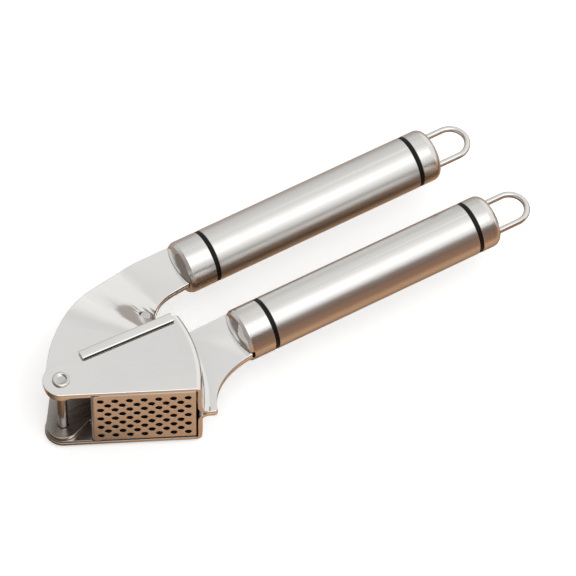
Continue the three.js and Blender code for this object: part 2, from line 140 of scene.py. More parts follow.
def makeBrushLines():
    # Fine parallel lines left by a polishing belt: long one way and close together the other two.
    tree, start, end = newGroup(
        "brushLines",
        [
            ("Vector", "NodeSocketVector", None),
            ("Lengthwise", "NodeSocketFloat", 10.0),
            ("Crosswise", "NodeSocketFloat", 2500.0),
        ],
        [("Lines", "NodeSocketFloat"), ("Height", "NodeSocketFloat")],
    )
    stretch = addNode(tree, "ShaderNodeCombineXYZ", (-700, -150))
    link(tree, start.outputs["Lengthwise"], stretch.inputs["X"])
    link(tree, start.outputs["Crosswise"], stretch.inputs["Y"])
    link(tree, start.outputs["Crosswise"], stretch.inputs["Z"])
    scaled = addNode(tree, "ShaderNodeVectorMath", (-500, 0), operation="MULTIPLY")
    link(tree, start.outputs["Vector"], scaled.inputs[0])
    link(tree, stretch.outputs[0], scaled.inputs[1])
    fine = addNode(tree, "ShaderNodeTexNoise", (-300, 100))
    fine.inputs["Scale"].default_value = 1.0
    fine.inputs["Detail"].default_value = 3.0
    fine.inputs["Roughness"].default_value = 0.7
    link(tree, scaled.outputs[0], fine.inputs["Vector"])
    broad = addNode(tree, "ShaderNodeTexNoise", (-300, -200))
    broad.inputs["Scale"].default_value = 0.22
    broad.inputs["Detail"].default_value = 2.0
    link(tree, scaled.outputs[0], broad.inputs["Vector"])
    part = mathNode(tree, "MULTIPLY", (-80, -200), broad.outputs["Fac"], 0.45)
    total = mathNode(tree, "MULTIPLY_ADD", (120, 0), fine.outputs["Fac"], 0.55)
    link(tree, part, total.node.inputs[2])
    spread = addNode(tree, "ShaderNodeMapRange", (320, 100))
    spread.inputs["From Min"].default_value = 0.32
    spread.inputs["From Max"].default_value = 0.68
    link(tree, total, spread.inputs["Value"])
    link(tree, spread.outputs[0], end.inputs["Lines"])
    link(tree, total, end.inputs["Height"])
    return tree


def makeHandMarks():
    # Faint cloudy smudges, and hairline scratches that run every way.
    tree, start, end = newGroup(
        "handMarks",
        [
            ("Vector", "NodeSocketVector", None),
            ("Smudge Scale", "NodeSocketFloat", 60.0),
            ("Scratch Scale", "NodeSocketFloat", 90.0),
        ],
        [("Smudge", "NodeSocketFloat"), ("Scratches", "NodeSocketFloat")],
    )
    cloud = addNode(tree, "ShaderNodeTexNoise", (-600, 200))
    cloud.inputs["Detail"].default_value = 4.0
    cloud.inputs["Distortion"].default_value = 0.8
    link(tree, start.outputs["Vector"], cloud.inputs["Vector"])
    link(tree, start.outputs["Smudge Scale"], cloud.inputs["Scale"])
    soft = addNode(tree, "ShaderNodeMapRange", (-350, 200), interpolation_type="SMOOTHSTEP")
    soft.inputs["From Min"].default_value = 0.42
    soft.inputs["From Max"].default_value = 0.72
    link(tree, cloud.outputs["Fac"], soft.inputs["Value"])
    link(tree, soft.outputs[0], end.inputs["Smudge"])
    hairs = []
    for i, turn in enumerate((0.4, 1.9)):
        across = addNode(tree, "ShaderNodeMapping", (-700, -100 - 350 * i))
        across.inputs["Rotation"].default_value = (0.3, 0.2, turn)
        across.inputs["Scale"].default_value = (0.12, 1.0, 1.0)
        link(tree, start.outputs["Vector"], across.inputs["Vector"])
        wisps = addNode(tree, "ShaderNodeTexNoise", (-500, -100 - 350 * i))
        wisps.inputs["Detail"].default_value = 1.0
        wisps.inputs["Distortion"].default_value = 1.5
        link(tree, across.outputs[0], wisps.inputs["Vector"])
        link(tree, start.outputs["Scratch Scale"], wisps.inputs["Scale"])
        off = mathNode(tree, "SUBTRACT", (-320, -100 - 350 * i), wisps.outputs["Fac"], 0.5)
        size = mathNode(tree, "ABSOLUTE", (-160, -100 - 350 * i), off)
        hair = addNode(tree, "ShaderNodeMapRange", (0, -100 - 350 * i))
        hair.inputs["From Min"].default_value = 0.0
        hair.inputs["From Max"].default_value = 0.006
        hair.inputs["To Min"].default_value = 1.0
        hair.inputs["To Max"].default_value = 0.0
        link(tree, size, hair.inputs["Value"])
        hairs.append(hair.outputs[0])
    both = mathNode(tree, "MAXIMUM", (250, -200), hairs[0], hairs[1])
    link(tree, both, end.inputs["Scratches"])
    return tree


def makeEdgeWearAndHighlight():
    # Sharp outer edges get a brighter colour: a painted highlight along the rounded edges, where polishing
    # also wears first.
    tree, start, end = newGroup(
        "edgeWearAndHighlight",
        [("Sharpness", "NodeSocketFloat", 12.0)],
        [("Edge", "NodeSocketFloat")],
    )
    shape = addNode(tree, "ShaderNodeNewGeometry", (-600, 0))
    off = mathNode(tree, "SUBTRACT", (-400, 0), shape.outputs["Pointiness"], 0.5)
    out = mathNode(tree, "MULTIPLY", (-200, 0), off, None, clamp=True)
    link(tree, start.outputs["Sharpness"], out.node.inputs[1])
    link(tree, out, end.inputs["Edge"])
    return tree


brushLines = makeBrushLines()
handMarks = makeHandMarks()
edgeWearAndHighlight = makeEdgeWearAndHighlight()


def steelFinish(name, s):
    # One kind of steel: its lines, marks and edges, with the settings of the finish.
    material = bpy.data.materials.new(name)
    material.use_nodes = True
    tree = material.node_tree
    tree.nodes.clear()
    out = addNode(tree, "ShaderNodeOutputMaterial", (900, 0))
    shader = addNode(tree, "ShaderNodeBsdfPrincipled", (600, 0))
    link(tree, shader.outputs[0], out.inputs["Surface"])
    shader.inputs["Metallic"].default_value = 1.0
    shader.inputs["IOR"].default_value = 2.0
    place = addNode(tree, "ShaderNodeTexCoord", (-1100, 0))
    turned = addNode(tree, "ShaderNodeMapping", (-900, 0))
    turned.inputs["Location"].default_value = s.get("centre", (0, 0, 0))
    turned.inputs["Rotation"].default_value = s.get("turn", (0, 0, 0))
    link(tree, place.outputs["Object"], turned.inputs["Vector"])
    lines = addNode(tree, "ShaderNodeGroup", (-650, 250), node_tree=brushLines)
    lines.inputs["Lengthwise"].default_value = s["lineLength"]
    lines.inputs["Crosswise"].default_value = s["lineCloseness"]
    link(tree, turned.outputs[0], lines.inputs["Vector"])
    marks = addNode(tree, "ShaderNodeGroup", (-650, 0), node_tree=handMarks)
    marks.inputs["Smudge Scale"].default_value = s["smudgeScale"]
    marks.inputs["Scratch Scale"].default_value = s["scratchScale"]
    link(tree, place.outputs["Object"], marks.inputs["Vector"])
    edge = addNode(tree, "ShaderNodeGroup", (-650, -250), node_tree=edgeWearAndHighlight)
    edge.inputs["Sharpness"].default_value = s["edgeSharpness"]

    toned = addNode(tree, "ShaderNodeMix", (-300, 300), data_type="RGBA")
    toned.inputs["A"].default_value = (*s["dark"], 1)
    toned.inputs["B"].default_value = (*s["light"], 1)
    link(tree, lines.outputs["Lines"], toned.inputs["Factor"])
    smudged = addNode(tree, "ShaderNodeMix", (-100, 300), data_type="RGBA")
    smudgeShare = mathNode(tree, "MULTIPLY", (-300, 100), marks.outputs["Smudge"], s["smudge"])
    link(tree, smudgeShare, smudged.inputs["Factor"])
    link(tree, toned.outputs["Result"], smudged.inputs["A"])
    smudged.inputs["B"].default_value = (*s["smudgeTone"], 1)
    # Painted highlight: sharp edges are mixed towards the brighter edge tone, together with polish wear.
    bright = addNode(tree, "ShaderNodeMix", (100, 300), data_type="RGBA")
    link(tree, edge.outputs["Edge"], bright.inputs["Factor"])
    link(tree, smudged.outputs["Result"], bright.inputs["A"])
    bright.inputs["B"].default_value = (*s["edgeWearAndHighlightTone"], 1)
    link(tree, bright.outputs["Result"], shader.inputs["Base Color"])

    rough = mathNode(tree, "MULTIPLY_ADD", (-100, 50), lines.outputs["Lines"], s["lineRoughness"])
    rough.node.inputs[2].default_value = s["roughness"]
    smudgeRough = mathNode(tree, "MULTIPLY_ADD", (80, 50), marks.outputs["Smudge"], s["smudgeRoughness"])
    link(tree, rough, smudgeRough.node.inputs[2])
    hairRough = mathNode(tree, "MULTIPLY_ADD", (260, 50), marks.outputs["Scratches"], s["scratchRoughness"])
    link(tree, smudgeRough, hairRough.node.inputs[2])
    link(tree, hairRough, shader.inputs["Roughness"])

    wave = addNode(tree, "ShaderNodeTexNoise", (-300, -250))
    wave.inputs["Scale"].default_value = s["waveScale"]
    wave.inputs["Detail"].default_value = 1.0
    link(tree, place.outputs["Object"], wave.inputs["Vector"])
    rolling = addNode(tree, "ShaderNodeBump", (100, -250))
    rolling.inputs["Strength"].default_value = 1.0
    rolling.inputs["Distance"].default_value = s["waveDepth"] * mm
    link(tree, wave.outputs["Fac"], rolling.inputs["Height"])
    grooves = addNode(tree, "ShaderNodeBump", (300, -250))
    grooves.inputs["Strength"].default_value = 1.0
    grooves.inputs["Distance"].default_value = s["lineDepth"] * mm
    link(tree, lines.outputs["Height"], grooves.inputs["Height"])
    link(tree, rolling.outputs[0], grooves.inputs["Normal"])
    link(tree, grooves.outputs[0], shader.inputs["Normal"])
    return material


baseSteel = {
    "dark": (0.70, 0.69, 0.67),
    "light": (0.80, 0.79, 0.775),
    "smudge": 0.25,
    "smudgeTone": (0.66, 0.65, 0.64),
    "edgeWearAndHighlightTone": (0.90, 0.89, 0.87),
    "edgeSharpness": 10.0,
    "lineLength": 12.0,
    "lineCloseness": 1800.0,
    "lineRoughness": 0.04,
    "lineDepth": 0.0004,
    "roughness": 0.10,
    "smudgeScale": 55.0,
    "smudgeRoughness": 0.03,
    "scratchScale": 160.0,
    "scratchRoughness": 0.03,
    "waveScale": 35.0,
    "waveDepth": 0.03,
}

finishes = {
    # Painted shade: near-black for hole walls, slot walls and the gaps under the rims.
    "shadedCutEdge": {
        **baseSteel,
        "dark": (0.020, 0.012, 0.008),
        "light": (0.036, 0.022, 0.015),
        "smudgeTone": (0.026, 0.016, 0.011),
        "edgeWearAndHighlightTone": (0.07, 0.045, 0.03),
        "roughness": 0.50,
    },
    # Painted shade: the presser sits in shadow inside the head, so its steel is painted dark.
    "shadedPresserSteel": {
        **baseSteel,
        "turn": (0, 0, math.radians(26)),
        "dark": (0.11, 0.085, 0.07),
        "light": (0.16, 0.125, 0.10),
        "smudgeTone": (0.08, 0.06, 0.05),
        "edgeWearAndHighlightTone": (0.45, 0.42, 0.39),
        "roughness": 0.30,
        "lineRoughness": 0.08,
    },
    "polishedSheet": {
        **baseSteel,
        "turn": (0, 0, math.radians(24)),
        "dark": (0.775, 0.77, 0.757),
        "smudge": 0.12,
        "roughness": 0.09,
        "lineRoughness": 0.03,
        "lineDepth": 0.0001,
    },
    # Painted shade: a dark steel for the faces inside the head, which lie in shadow.
    "shadedInnerSheet": {
        **baseSteel,
        "dark": (0.15, 0.12, 0.10),
        "light": (0.22, 0.18, 0.155),
        "smudgeTone": (0.12, 0.095, 0.08),
        "edgeWearAndHighlightTone": (0.70, 0.68, 0.65),
        "roughness": 0.24,
        "lineRoughness": 0.08,
        "lineDepth": 0.0003,
    },
    "sieveSheet": {
        **baseSteel,
        "turn": (0, 0, math.radians(26)),
        "roughness": 0.17,
        "lineRoughness": 0.06,
        "lineDepth": 0.0003,
        "smudge": 0.35,
    },
    "pinSteel": {
        **baseSteel,
        "dark": (0.58, 0.56, 0.54),
        "light": (0.70, 0.68, 0.66),
        "lineLength": 400.0,
        "roughness": 0.14,
        "edgeSharpness": 6.0,
        "waveDepth": 0.01,
    },
    "satinCap": {
        **baseSteel,
        "lineLength": 14.0,
        "lineCloseness": 2600.0,
        "roughness": 0.22,
        "lineRoughness": 0.08,
        "lineDepth": 0.0006,
        "waveDepth": 0.01,
    },
    "capMirror": {
        **baseSteel,
        "roughness": 0.06,
        "lineRoughness": 0.02,
        "lineDepth": 0.0001,
        "waveScale": 190.0,
        "waveDepth": 0.55,
    },
    "brushedGrip": {
        **baseSteel,
        "lineLength": 7.0,
        "lineCloseness": 2600.0,
        "roughness": 0.27,
        "lineRoughness": 0.08,
        "lineDepth": 0.0004,
        "smudge": 0.15,
        "waveDepth": 0.01,
    },
    "loopWire": {
        **baseSteel,
        "lineLength": 60.0,
        "roughness": 0.20,
        "lineRoughness": 0.05,
        "waveDepth": 0.005,
    },
}

ringRubber = {
    "dark": (0.003, 0.003, 0.003),
    "light": (0.007, 0.0068, 0.0065),
    "grainScale": 1400.0,
    "grainDepth": 0.006,
    "roughness": 0.42,
    "smudgeRoughness": 0.15,
}


def ringFinish(name, s):
    # Moulded black rubber with a fine matt grain.
    material = bpy.data.materials.new(name)
    material.use_nodes = True
    tree = material.node_tree
    tree.nodes.clear()
    out = addNode(tree, "ShaderNodeOutputMaterial", (700, 0))
    shader = addNode(tree, "ShaderNodeBsdfPrincipled", (400, 0))
    shader.inputs["Specular IOR Level"].default_value = 0.22
    link(tree, shader.outputs[0], out.inputs["Surface"])
    place = addNode(tree, "ShaderNodeTexCoord", (-700, 0))
    grain = addNode(tree, "ShaderNodeTexNoise", (-450, 100))
    grain.inputs["Scale"].default_value = s["grainScale"]
    grain.inputs["Detail"].default_value = 2.0
    link(tree, place.outputs["Object"], grain.inputs["Vector"])
    marks = addNode(tree, "ShaderNodeGroup", (-450, -200), node_tree=handMarks)
    marks.inputs["Smudge Scale"].default_value = 90.0
    link(tree, place.outputs["Object"], marks.inputs["Vector"])
    toned = addNode(tree, "ShaderNodeMix", (-200, 150), data_type="RGBA")
    toned.inputs["A"].default_value = (*s["dark"], 1)
    toned.inputs["B"].default_value = (*s["light"], 1)
    link(tree, grain.outputs["Fac"], toned.inputs["Factor"])
    link(tree, toned.outputs["Result"], shader.inputs["Base Color"])
    rough = mathNode(tree, "MULTIPLY_ADD", (-200, -150), marks.outputs["Smudge"], s["smudgeRoughness"])
    rough.node.inputs[2].default_value = s["roughness"]
    link(tree, rough, shader.inputs["Roughness"])
    bump = addNode(tree, "ShaderNodeBump", (100, -250))
    bump.inputs["Distance"].default_value = s["grainDepth"] * mm
    link(tree, grain.outputs["Fac"], bump.inputs["Height"])
    link(tree, bump.outputs[0], shader.inputs["Normal"])
    return material


looks = {name: steelFinish(name, s) for name, s in finishes.items()}
looks["blackRubber"] = ringFinish("blackRubber", ringRubber)
print("materials made:", len(looks))


# Modelling helpers. Each one starts with nothing selected.
def clearSelection():
    if bpy.context.object and bpy.context.object.mode != "OBJECT":
        bpy.ops.object.mode_set(mode="OBJECT")
    bpy.ops.object.select_all(action="DESELECT")


def takeUp(piece):
    clearSelection()
    piece.select_set(True)
    bpy.context.view_layer.objects.active = piece


def closeShape():
    # In edit mode: fills open ends, merges doubles and turns the faces outwards.
    bpy.ops.mesh.select_all(action="SELECT")
    bpy.ops.mesh.fill_holes(sides=0)
    bpy.ops.mesh.select_all(action="SELECT")
    bpy.ops.mesh.remove_doubles(threshold=0.001 * mm)
    bpy.ops.mesh.normals_make_consistent(inside=False)
    bpy.ops.object.mode_set(mode="OBJECT")


def settle(piece):
    # Puts the piece's place into its mesh.
    takeUp(piece)
    bpy.ops.object.transform_apply(location=True, rotation=True, scale=True)


sheetFacet = math.radians(18)


def roundEdges(piece, width, segments=2, angle=30, turned=True):
    # Smooth shading and a small round on each edge that is sharper than the angle.
    takeUp(piece)
    bpy.ops.object.shade_smooth_by_angle(angle=math.radians(angle))
    if width:
        bevel = piece.modifiers.new("edges", "BEVEL")
        bevel.width = width * mm
        bevel.segments = segments
        bevel.limit_method = "ANGLE"
        bevel.angle_limit = math.radians(angle)
        bevel.use_clamp_overlap = False
        bpy.ops.object.modifier_apply(modifier=bevel.name)
    if not turned:  # crisp facets keep the flats of a sheet free of bent reflections
        bpy.ops.object.shade_smooth_by_angle(angle=sheetFacet)
        return
    flat = piece.modifiers.new("flats", "WEIGHTED_NORMAL")
    flat.keep_sharp = True
    bpy.ops.object.modifier_apply(modifier=flat.name)


def cutWith(piece, cutter):
    takeUp(piece)
    cut = piece.modifiers.new("cut", "BOOLEAN")
    cut.operation = "DIFFERENCE"
    cut.solver = "EXACT"
    cut.object = cutter
    bpy.ops.object.modifier_apply(modifier=cut.name)
    bpy.data.objects.remove(cutter)


def finishPiece(piece, node, body, slot, *materials):
    piece.data.materials.clear()
    for name in materials:
        piece.data.materials.append(looks[name])
    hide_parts(node)
    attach(piece, body)


axes = {
    "x": (Vector((1, 0, 0)), (0, math.pi / 2, 0)),
    "z": (Vector((0, 0, 1)), (0, 0, 0)),
}


def drawCircle(name, radius, location, tilt, corners):
    # A circle's outline, left in edit mode with all of it selected.
    clearSelection()
    bpy.ops.mesh.primitive_circle_add(
        vertices=corners, radius=radius, location=location, rotation=tilt
    )
    piece = bpy.context.object
    piece.name = name
    piece.data.name = name
    bpy.ops.object.mode_set(mode="EDIT")
    bpy.ops.mesh.select_all(action="SELECT")
    return piece


def drawProfile(name, axis, centre, profile, corners):
    # A circle extruded and scaled from point to point: (distance along the axis, radius) in millimetres.
    along, tilt = axes[axis]
    first = Vector(centre) + along * profile[0][0] * mm
    piece = drawCircle(name, profile[0][1] * mm, first, tilt, corners)
    for before, after in zip(profile, profile[1:]):
        step = along * (after[0] - before[0]) * mm
        bpy.ops.mesh.extrude_region_move(TRANSFORM_OT_translate={"value": step})
        share = after[1] / before[1]
        bpy.ops.transform.resize(
            value=(share, share, share),
            center_override=Vector(centre) + along * after[0] * mm,
        )
    return piece


def turnedPiece(name, axis, centre, profile, corners):
    piece = drawProfile(name, axis, centre, profile, corners)
    closeShape()
    settle(piece)
    return piece


def block(name, low, high):
    clearSelection()
    size = Vector(high) - Vector(low)
    bpy.ops.mesh.primitive_cube_add(size=1, location=(Vector(high) + Vector(low)) / 2)
    piece = bpy.context.object
    piece.name = name
    piece.scale = size
    settle(piece)
    return piece


# The bent sheets: frame halves, lever halves, sieve insert and presser.
sheetSettings = {
    "basket_frame_upper": {"piece": "basketFrameUpper", "body": "basket_lever", "edge": 0.22},
    "basket_frame_lower": {"piece": "basketFrameLower", "body": "basket_lever", "edge": 0.22},
    "press_lever_upper": {"piece": "pressLeverUpper", "body": "pressing_lever", "edge": 0.22},
    "press_lever_lower": {"piece": "pressLeverLower", "body": "pressing_lever", "edge": 0.22},
    "presser": {
        "piece": "presserPlate",
        "body": "pressing_lever",
        "edge": 0.2,
        "look": "shadedPresserSteel",
    },
}


def copyOfNode(node, name):
    # The CAD shape with its doubles merged and the flats joined up.
    clearSelection()
    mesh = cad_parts[node].data.copy()
    piece = bpy.data.objects.new(name, mesh)
    mesh.name = name
    bpy.context.scene.collection.objects.link(piece)
    takeUp(piece)
    bpy.ops.object.mode_set(mode="EDIT")
    bpy.ops.mesh.select_all(action="SELECT")
    bpy.ops.mesh.remove_doubles(threshold=0.002 * mm)
    bpy.ops.mesh.dissolve_limited(angle_limit=math.radians(0.2))
    bpy.ops.object.mode_set(mode="OBJECT")
    return piece


def paintShadeInside(piece, middle):
    # The side that faces the other half inside the head, but not where the blades meet, takes the dark
    # inner finish: painted shade for the shadowed inside of the head.
    bladeSheet = 2 * mm
    for face in piece.data.polygons:
        away = face.center.z - middle
        inwards = away * face.normal.z < 0 and abs(face.normal.z) > 0.6
        if inwards and abs(away) > bladeSheet:
            face.material_index = 1


for node, s in sheetSettings.items():
    piece = copyOfNode(node, s["piece"])
    roundEdges(piece, s["edge"], turned=False)
    finishPiece(piece, node, s["body"], "polished_sheet", s.get("look", "polishedSheet"), "shadedInnerSheet")
    if node != "presser":
        paintShadeInside(piece, (cadBox[0].z + cadBox[1].z) / 2)
print("sheets made:", len(sheetSettings))


sieveSettings = {
    "turn": math.radians(-26),
    "rimTurn": math.radians(-2.6),
    "plateOutside": 17.25,
    "rimTop": 18.5,
    "rimStart": 10.7,
    "rimFree": 4.1,  # the free edge's distance from the pin's axis
    "rimRounding": 0.45,
    "start": 10.5,
    "end": 49.3,
    "face": -6.8,
    "sheet": 1.0,
    "fieldEnds": (2.0, 1.6),  # no holes this near the tab and the end wall
    "fieldHalf": 13.4,
    "holeRadius": 1.27,
    "pitch": 5.35,
    "rowPitch": 5.75,
    "columns": 7,
    "rows": 5,
    "corners": 24,
    "edge": 0.1,
}


def softenRims(piece, pivot, back, side, s):
    # The rims' free edges and front ends are rounded over by polishing.
    clearSelection()
    takeUp(piece)
    bpy.ops.object.mode_set(mode="EDIT")
    bpy.ops.mesh.select_mode(type="EDGE")
    bpy.ops.mesh.select_all(action="DESELECT")
    shape = bmesh.from_edit_mesh(piece.data)
    for edge in shape.edges:
        ends = [(corner.co - pivot) / mm for corner in edge.verts]
        outside = all(abs(p.z) > s["plateOutside"] for p in ends)
        onTop = all(abs(p.z) > s["rimTop"] - 0.05 for p in ends)
        free = all(abs(p.dot(side) - s["rimFree"]) < 0.1 for p in ends)
        start = all(abs(p.dot(back) - s["rimStart"]) < 0.1 for p in ends)
        if outside and ((onTop and (free or start)) or (free and start)):
            edge.select_set(True)
    bmesh.update_edit_mesh(piece.data)
    bpy.ops.mesh.bevel(offset=s["rimRounding"] * mm, segments=3, affect="EDGES")
    bpy.ops.object.mode_set(mode="OBJECT")


def makeSieve(s):
    node = "sieve_insert"
    piece = copyOfNode(node, "sieveInsert")
    pinLow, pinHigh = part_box("pivot_pin")
    pivot = (pinLow + pinHigh) / 2
    forward = Vector((math.cos(s["turn"]), math.sin(s["turn"]), 0))
    inward = Vector((-forward.y, forward.x, 0))
    rimBack = Vector((math.cos(s["rimTurn"]), math.sin(s["rimTurn"]), 0))
    rimFront = Vector((rimBack.y, -rimBack.x, 0))
    softenRims(piece, pivot, rimBack, -rimFront, s)
    clearSelection()
    punches = []
    for row in range(2 * s["rows"] - 1):
        count = s["columns"] - row % 2
        for i in range(count):
            reach = (s["start"] + s["end"]) / 2 + (i - (count - 1) / 2) * s["pitch"]
            across = (row - s["rows"] + 1) * 0.5 * s["rowPitch"]
            at = pivot + (forward * reach + inward * s["face"]) * mm + Vector((0, 0, across * mm))
            bpy.ops.mesh.primitive_cylinder_add(
                vertices=s["corners"],
                radius=s["holeRadius"] * mm,
                depth=3 * s["sheet"] * mm,
                location=at,
                rotation=(math.pi / 2, 0, s["turn"]),
            )
            punches.append(bpy.context.object)
    for punch in punches:
        punch.select_set(True)
    bpy.context.view_layer.objects.active = punches[0]
    bpy.ops.object.join()
    cutWith(piece, punches[0])
    roundEdges(piece, s["edge"], segments=1, turned=False)
    finishPiece(piece, node, "basket_lever", "sieve_sheet", "sieveSheet", "shadedInnerSheet", "shadedCutEdge")
    paintShadeInside(piece, pivot.z)
    # Punched walls and the folded rims' sheared edges are dark: painted shade inside the holes and in the
    # gap under the rims.
    fieldStart = s["start"] + s["fieldEnds"][0]
    fieldEnd = s["end"] - s["fieldEnds"][1]
    for face in piece.data.polygons:
        at = (face.center - pivot) / mm
        depth, reach = at.dot(inward), at.dot(forward)
        inSheet = abs(depth - s["face"] - s["sheet"] / 2) < s["sheet"] / 2 - 0.08
        inField = fieldStart < reach < fieldEnd and abs(at.z) < s["fieldHalf"]
        onRim = abs(at.z) > s["plateOutside"]
        sheared = max(face.normal.dot(rimFront), -face.normal.dot(rimBack)) > 0.95
        if inSheet and inField and abs(face.normal.dot(inward)) < 0.5:
            face.material_index = 2
        if onRim and sheared:
            face.material_index = 2


makeSieve(sieveSettings)
print("sieve insert made")


pinSettings = {
    "headHeight": 0.9,
    "shaftRadius": 1.9,
    "corners": 64,
    # One head from its underside to the middle of its dimple: (height above the plate, radius).
    "head": [
        (0.0, 2.95), (0.16, 3.0), (0.24, 3.26), (0.42, 3.3), (0.62, 3.2), (0.79, 2.98), (0.88, 2.72),
        (0.90, 2.45), (0.84, 2.22), (0.68, 2.02), (0.48, 1.80), (0.36, 1.45), (0.31, 1.0), (0.30, 0.1),
    ],
}


def makePivotPin(s):
    low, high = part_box("pivot_pin")
    half = (high.z - low.z) / mm / 2 - s["headHeight"]
    head = [(half + h, r) for h, r in s["head"]]
    profile = [(-h, r) for h, r in reversed(head)]
    profile += [(-half, s["shaftRadius"]), (half, s["shaftRadius"])] + head
    piece = turnedPiece("pivotPin", "z", (low + high) / 2, profile, s["corners"])
    roundEdges(piece, 0.08, segments=2, angle=50)
    finishPiece(piece, "pivot_pin", "basket_lever", "pin_steel", "pinSteel")


makePivotPin(pinSettings)


spacerSettings = {"radius": 2.0, "chamfer": 0.3, "corners": 48}


def makeSpacerPin(s):
    low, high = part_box("lever_spacer_pin")
    half = (high.z - low.z) / mm / 2
    ends = [(half - s["chamfer"], s["radius"]), (half, s["radius"] - s["chamfer"]), (half, 0.1)]
    profile = [(-h, r) for h, r in reversed(ends)] + ends
    piece = turnedPiece("leverSpacerPin", "z", (low + high) / 2, profile, s["corners"])
    roundEdges(piece, 0.08, segments=2, angle=25)
    finishPiece(piece, "lever_spacer_pin", "pressing_lever", "pin_steel", "pinSteel")


makeSpacerPin(spacerSettings)
print("pins made")


handleSettings = {
    "corners": 128,
    "gripWall": 1.0,
    "gripEdge": 0.25,
    "ringEdge": 0.12,
    "spigotGap": 0.1,
    "rimLength": 9.2,
    "slotDepth": 8.9,
    "slotHalf": 1.7,
    # The blade's edges from the handle's axis, with the slot's gap.
    "slotSides": {"basket": (-10.4, 10.4), "press": (-8.4, 10.0)},
    "tangHalf": 7.2,
    "cutReach": 20,
    "rearRound": 3.4,
    "rearSteps": 8,
    "legHole": 1.25,
    "legReach": 6,
    "rimEdge": 0.18,
    # The dome of a front cap, as shares of the cap's radius and of the dome's height.
    "shoulder": 0.93,
    "shoulderRise": 0.45,
    "domeBow": 0.55,
    "domeSteps": 14,
}
onAxis = 0.1  # a turned end stops here and is closed flat
slack = 0.05 * mm


def axisOf(node):
    # A handle piece's middle line, its two ends and its radius.
    low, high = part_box(node)
    centre = Vector((0, (low.y + high.y) / 2, (low.z + high.z) / 2))
    return centre, low.x / mm, high.x / mm, (high.z - low.z) / mm / 2


def hollowTurned(name, node, inner, edge, s):
    # A tube: out along its wall and back inside, then closed on itself.
    centre, start, end, radius = axisOf(node)
    profile = [(start, inner), (start, radius), (end, radius), (end, inner)]
    piece = drawProfile(name, "x", centre, profile, s["corners"])
    shape = bmesh.from_edit_mesh(piece.data)
    for item in (*shape.verts, *shape.edges):
        item.select = False
    for side in shape.edges:
        if side.is_boundary:
            side.select_set(True)
    bmesh.update_edit_mesh(piece.data)
    bpy.ops.mesh.bridge_edge_loops()
    bpy.ops.mesh.select_all(action="SELECT")
    bpy.ops.mesh.normals_make_consistent(inside=False)
    bpy.ops.object.mode_set(mode="OBJECT")
    settle(piece)
    roundEdges(piece, edge, segments=3)
    return piece


def makeFrontCap(name, node, ringNode, s):
    # Satin side wall and a polished, bulging end face with a slot for the blade.
    centre, tip, inside, radius = axisOf(node)
    seat = axisOf(ringNode)[1]
    rim = seat - s["rimLength"]
    spigot = radius - s["gripWall"] - s["spigotGap"]
    profile = [(inside, onAxis), (inside, spigot), (seat, spigot), (seat, radius), (rim, radius)]
    shoulder = s["shoulder"] * radius
    start = (rim - s["shoulderRise"] * (rim - tip), shoulder)
    for i in range(s["domeSteps"] + 1):
        t = i / s["domeSteps"]
        # The same curve as the CAD dome: level at the tip, steeper towards the shoulder.
        out = (1 - t) ** 2 * start[1] + 2 * t * (1 - t) * s["domeBow"] * radius
        x = (1 - t) ** 2 * start[0] + (1 - (1 - t) ** 2) * tip
        profile.append((x, max(out, onAxis)))
    piece = turnedPiece(name, "x", centre, profile, s["corners"])
    half, wide, far = s["slotHalf"] * mm, s["tangHalf"] * mm, s["cutReach"] * mm
    mouthEnd = (seat - s["slotDepth"]) * mm
    y, z = centre.y, centre.z
    low, high = (y + side * mm for side in s["slotSides"][node.split("_")[0]])
    mouth = block("mouth", (tip * mm - far, low, z - half), (mouthEnd, high, z + half))
    cutWith(piece, mouth)
    way = block("way", (tip * mm - far, y - wide, z - half), (inside * mm + mm, y + wide, z + half))
    cutWith(piece, way)
    roundEdges(piece, s["rimEdge"], segments=2, angle=26)
    finishPiece(piece, node, bodyOf[name[0]], "satin_cap", "satinCap", "capMirror", "shadedCutEdge")
    for face in piece.data.polygons:
        off = face.center - centre
        if math.hypot(off.y, off.z) < shoulder * mm - slack and off.x < rim * mm - 2 * slack:
            face.material_index = 1
        # The slot's walls take the near-black finish: painted shade inside the slot.
        inSlot = abs(off.z) < half + slack and off.x < mouthEnd + slack
        if inSlot and low - slack < face.center.y < high + slack:
            face.material_index = 2


def makeRearCap(name, node, ringNode, s):
    centre, inside, end, radius = axisOf(node)
    seat = axisOf(ringNode)[2]
    spigot = radius - s["gripWall"] - s["spigotGap"]
    profile = [(inside, onAxis), (inside, spigot), (seat, spigot), (seat, radius)]
    steps, r = s["rearSteps"], s["rearRound"]
    for i in range(steps + 1):
        a = math.pi / 2 * i / steps
        profile.append((end - r + r * math.sin(a), radius - r + r * math.cos(a)))
    profile.append((end, onAxis))
    piece = turnedPiece(name, "x", centre, profile, s["corners"])
    loopLow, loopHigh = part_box(node.replace("rear_cap", "hanging_loop"))
    wire = (loopHigh.z - loopLow.z) / 2
    for y in (loopLow.y + wire, loopHigh.y - wire):
        at = Vector((0, y, centre.z))
        span = [(end - s["legReach"], s["legHole"]), (end + s["legReach"], s["legHole"])]
        hole = turnedPiece("hole", "x", at, span, 32)
        cutWith(piece, hole)
    roundEdges(piece, s["rimEdge"], segments=2, angle=35)
    finishPiece(piece, node, bodyOf[name[0]], "satin_cap", "satinCap")


loopSettings = {"corners": 24, "turnSteps": 36, "legSteps": 6}


